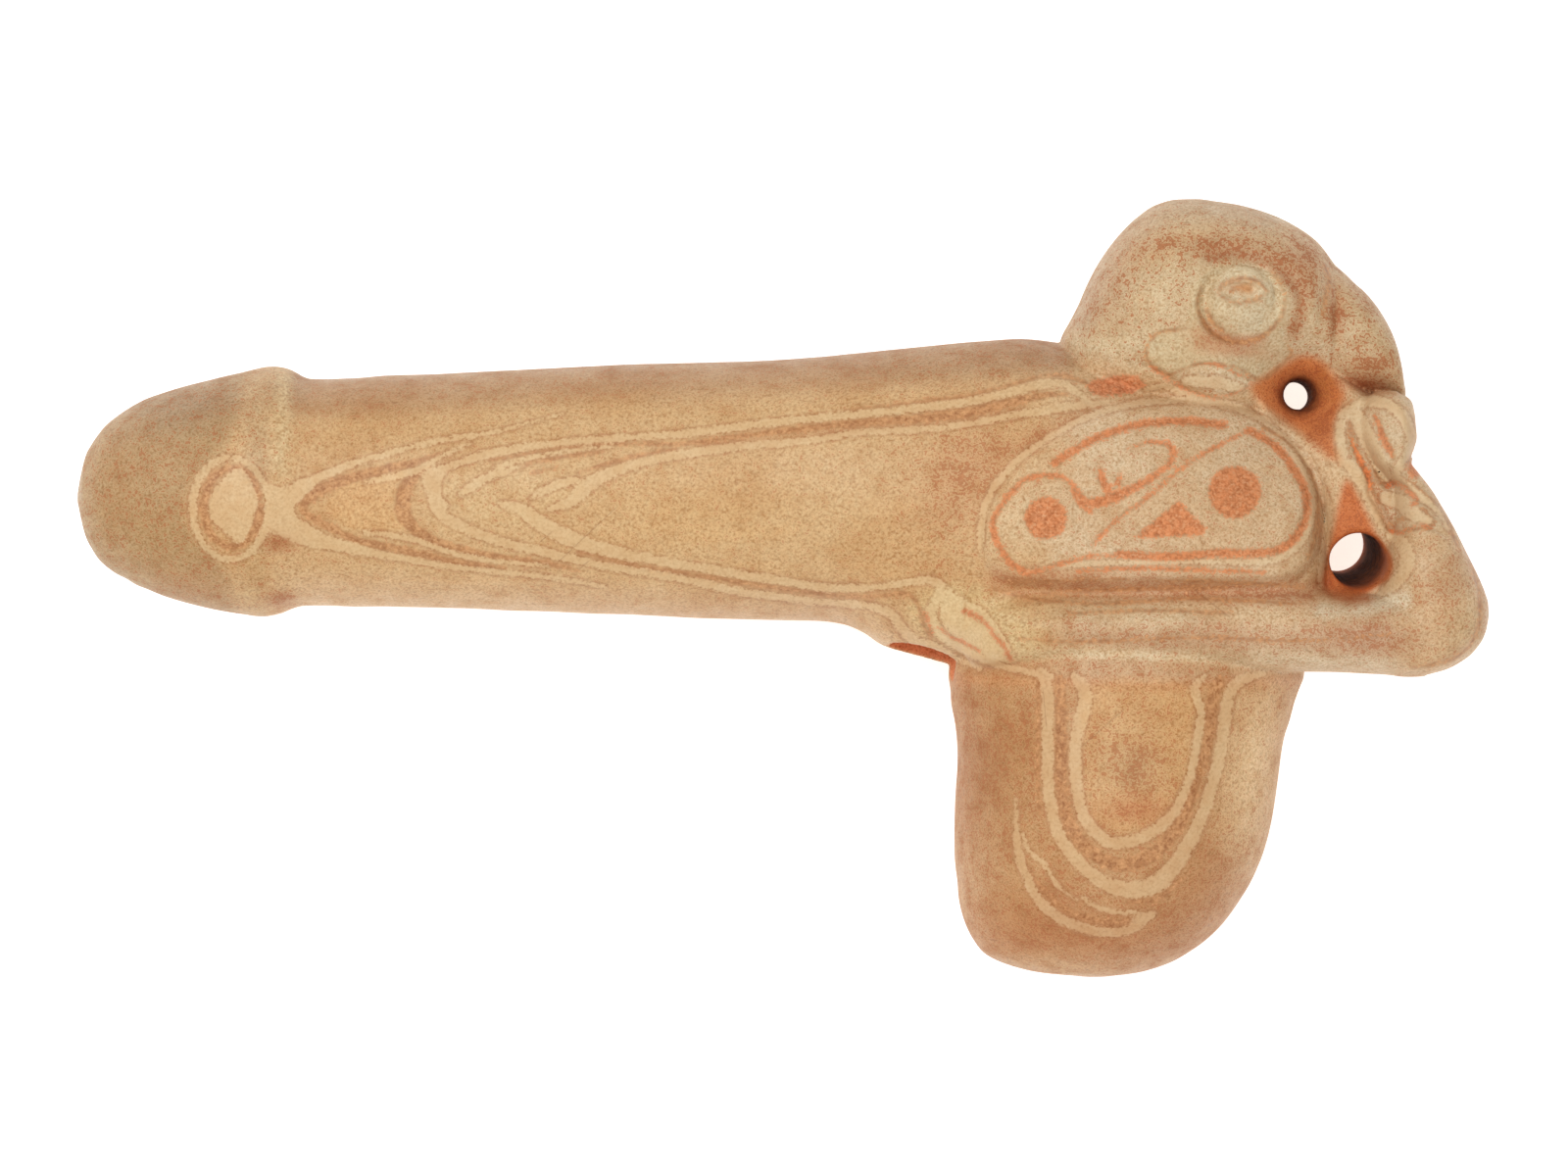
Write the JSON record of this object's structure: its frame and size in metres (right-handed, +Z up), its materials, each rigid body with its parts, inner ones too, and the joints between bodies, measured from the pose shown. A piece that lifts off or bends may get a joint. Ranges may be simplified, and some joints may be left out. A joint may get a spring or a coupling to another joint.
{
  "type": "ocarina",
  "caption": "Effigy vessel flute in marbled fired clay: long hollow barrel with a ridged nose cap and blow hole, crouching figure, tone window and round pod chamber.",
  "frame": {"origin": "centre of the bounding box at the bottom, on the surface the flute lies on", "axes": "+X from the nose cap towards the figure's elbows, +Y from the pod towards the head, +Z up from the flank it lies on"},
  "size_m": [0.2104, 0.1156, 0.051],
  "materials": {
    "nose_clay": "speckled brown burnished clay",
    "barrel_clay": "marbled buff burnished clay, cream and brown bands",
    "body_clay": "marbled buff burnished clay, orange and cream bands",
    "head_clay": "pale buff burnished clay",
    "cream_clay": "cream slip clay, smoothed",
    "ornament_clay": "buff clay with red recessed ornament",
    "red_clay": "red-orange clay, unburnished",
    "inner_clay": "plain inner clay, unburnished"
  },
  "bodies": {
    "root": {"barrel_shell_far": "barrel_clay", "barrel_shell_near": "barrel_clay", "cheek_plate_far": "cream_clay", "cheek_plate_near": "cream_clay", "eye_pellet_far": "cream_clay", "eye_pellet_near": "cream_clay", "face_block": "head_clay", "fipple_block": "inner_clay", "forearm_far": "body_clay", "forearm_near": "body_clay", "hand_far": "cream_clay", "hand_near": "cream_clay", "head_shell_far": "head_clay", "head_shell_near": "head_clay", "labium": "inner_clay", "neck_web": "red_clay", "nose_cap": "nose_clay", "pod_shell_far": "body_clay", "pod_shell_near": "body_clay", "shoulder_plate_far": "ornament_clay", "shoulder_plate_near": "ornament_clay", "torso_shell_far": "body_clay", "torso_shell_near": "body_clay", "upper_arm_far": "body_clay", "upper_arm_near": "body_clay", "wrist_band_far": "cream_clay", "wrist_band_near": "cream_clay"}
  },
  "joints": []
}
